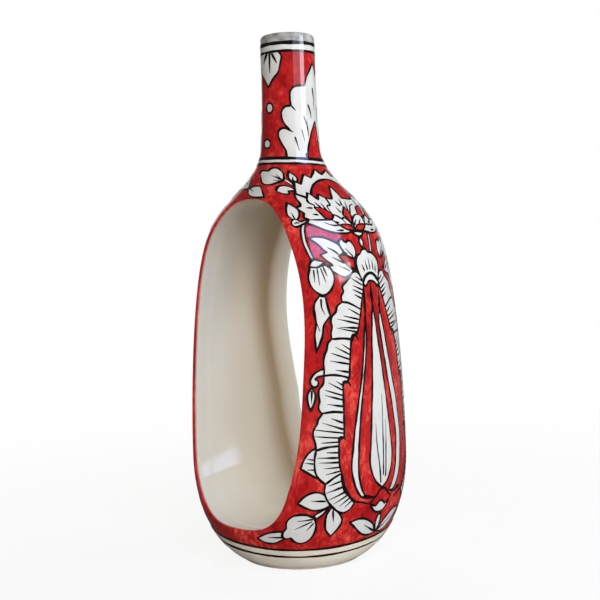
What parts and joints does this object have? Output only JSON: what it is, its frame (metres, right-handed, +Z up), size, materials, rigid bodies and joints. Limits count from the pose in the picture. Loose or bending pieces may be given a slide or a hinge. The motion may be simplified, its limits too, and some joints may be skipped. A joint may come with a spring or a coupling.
{
  "type": "ceramic vase",
  "caption": "Glazed ceramic bottle vase with a slim neck, its rounded hollow body pierced from front to back by a large oval tunnel, painted with floral sprays.",
  "frame": {"origin": "centre of the foot, on the surface that the vase stands on", "axes": "+Z up along the neck, Y along the oval tunnel with the front window towards -Y, X across the painted side panels"},
  "size_m": [0.1268, 0.1134, 0.306],
  "materials": {
    "red_glaze": "gloss",
    "white_glaze": "gloss",
    "cream_glaze": "gloss",
    "grey_glaze": "gloss",
    "white_slip": "gloss, painted under the glaze",
    "black_slip": "gloss, painted under the glaze"
  },
  "bodies": {
    "root": {"base_bowl": "cream_glaze", "body_wall": "red_glaze", "tunnel_sleeve": "white_glaze", "neck_tube": "red_glaze", "lip_ring": "grey_glaze"}
  },
  "joints": []
}
